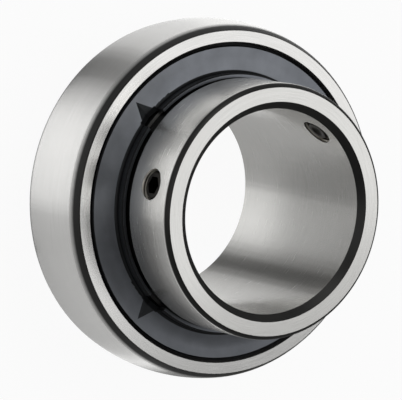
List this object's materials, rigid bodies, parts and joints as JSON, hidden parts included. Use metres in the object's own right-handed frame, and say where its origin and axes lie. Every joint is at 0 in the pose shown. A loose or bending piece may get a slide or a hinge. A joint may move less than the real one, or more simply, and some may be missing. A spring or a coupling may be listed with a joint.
{
  "type": "insert bearing",
  "caption": "Ball bearing with a spherical outer ring and a wide inner ring that set screws lock to a shaft.",
  "frame": {"origin": "on the shaft's axis, at the centre of the outer ring's sphere and in the plane of the balls", "axes": "+Z along the shaft's axis, out of the inner ring's wide side, where the set screws are; the first set screw points along -Y"},
  "size_m": [0.09, 0.09, 0.0516],
  "materials": {
    "outer_ring": "ground",
    "inner_ring": "ground",
    "balls": "polished",
    "cage": "pressed sheet",
    "rivets": "bright",
    "seal_core": "pressed sheet",
    "seal_rubber": "matt",
    "flinger": "blue-grey, satin",
    "set_screw": "blackened steel"
  },
  "bodies": {
    "inner": {"inner_ring": "inner_ring", "flinger_front": "flinger", "flinger_back": "flinger"},
    "outer": {"outer_ring": "outer_ring", "seal_core_front": "seal_core", "seal_core_back": "seal_core", "seal_rubber_front": "seal_rubber", "seal_rubber_back": "seal_rubber"},
    "cage": {"cage_front": "cage", "cage_back": "cage", "cage_rivets": "rivets"},
    "ball_body_01": {"ball_01": "balls"},
    "ball_body_02": {"ball_02": "balls"},
    "ball_body_03": {"ball_03": "balls"},
    "ball_body_04": {"ball_04": "balls"},
    "ball_body_05": {"ball_05": "balls"},
    "ball_body_06": {"ball_06": "balls"},
    "ball_body_07": {"ball_07": "balls"},
    "ball_body_08": {"ball_08": "balls"},
    "ball_body_09": {"ball_09": "balls"},
    "ball_body_10": {"ball_10": "balls"},
    "screw_body_1": {"set_screw_1": "set_screw"},
    "screw_body_2": {"set_screw_2": "set_screw"}
  },
  "joints": [
    {"name": "outer_spin", "type": "hinge", "parent": "inner", "child": "outer", "pos_m": [0, 0, 0], "axis": [0, 0, 1], "continuous": true},
    {"name": "cage_spin", "type": "hinge", "parent": "inner", "child": "cage", "pos_m": [0, 0, 0], "axis": [0, 0, 1], "continuous": true},
    {"name": "ball_spin_01", "type": "hinge", "parent": "cage", "child": "ball_body_01", "pos_m": [0.035, 0, 0], "axis": [0, 0, 1], "continuous": true},
    {"name": "ball_spin_02", "type": "hinge", "parent": "cage", "child": "ball_body_02", "pos_m": [0.02832, 0.02057, 0], "axis": [0, 0, 1], "continuous": true},
    {"name": "ball_spin_03", "type": "hinge", "parent": "cage", "child": "ball_body_03", "pos_m": [0.01082, 0.03329, 0], "axis": [0, 0, 1], "continuous": true},
    {"name": "ball_spin_04", "type": "hinge", "parent": "cage", "child": "ball_body_04", "pos_m": [-0.01082, 0.03329, 0], "axis": [0, 0, 1], "continuous": true},
    {"name": "ball_spin_05", "type": "hinge", "parent": "cage", "child": "ball_body_05", "pos_m": [-0.02832, 0.02057, 0], "axis": [0, 0, 1], "continuous": true},
    {"name": "ball_spin_06", "type": "hinge", "parent": "cage", "child": "ball_body_06", "pos_m": [-0.035, 0, 0], "axis": [0, 0, 1], "continuous": true},
    {"name": "ball_spin_07", "type": "hinge", "parent": "cage", "child": "ball_body_07", "pos_m": [-0.02832, -0.02057, 0], "axis": [0, 0, 1], "continuous": true},
    {"name": "ball_spin_08", "type": "hinge", "parent": "cage", "child": "ball_body_08", "pos_m": [-0.01082, -0.03329, 0], "axis": [0, 0, 1], "continuous": true},
    {"name": "ball_spin_09", "type": "hinge", "parent": "cage", "child": "ball_body_09", "pos_m": [0.01082, -0.03329, 0], "axis": [0, 0, 1], "continuous": true},
    {"name": "ball_spin_10", "type": "hinge", "parent": "cage", "child": "ball_body_10", "pos_m": [0.02832, -0.02057, 0], "axis": [0, 0, 1], "continuous": true},
    {"name": "screw_travel_1", "type": "slide", "parent": "inner", "child": "screw_body_1", "axis": [0, -1, 0], "range_m": [-0.0005, 0.003]},
    {"name": "screw_travel_2", "type": "slide", "parent": "inner", "child": "screw_body_2", "axis": [-0.866, 0.5, 0], "range_m": [-0.0005, 0.003]}
  ],
  "couplings": [
    {"joint": "cage_spin", "follows": "outer_spin", "ratio": 0.59071},
    {"joint": "ball_spin_01", "follows": "outer_spin", "ratio": 2.6652},
    {"joint": "ball_spin_02", "follows": "outer_spin", "ratio": 2.6652},
    {"joint": "ball_spin_03", "follows": "outer_spin", "ratio": 2.6652},
    {"joint": "ball_spin_04", "follows": "outer_spin", "ratio": 2.6652},
    {"joint": "ball_spin_05", "follows": "outer_spin", "ratio": 2.6652},
    {"joint": "ball_spin_06", "follows": "outer_spin", "ratio": 2.6652},
    {"joint": "ball_spin_07", "follows": "outer_spin", "ratio": 2.6652},
    {"joint": "ball_spin_08", "follows": "outer_spin", "ratio": 2.6652},
    {"joint": "ball_spin_09", "follows": "outer_spin", "ratio": 2.6652},
    {"joint": "ball_spin_10", "follows": "outer_spin", "ratio": 2.6652}
  ]
}
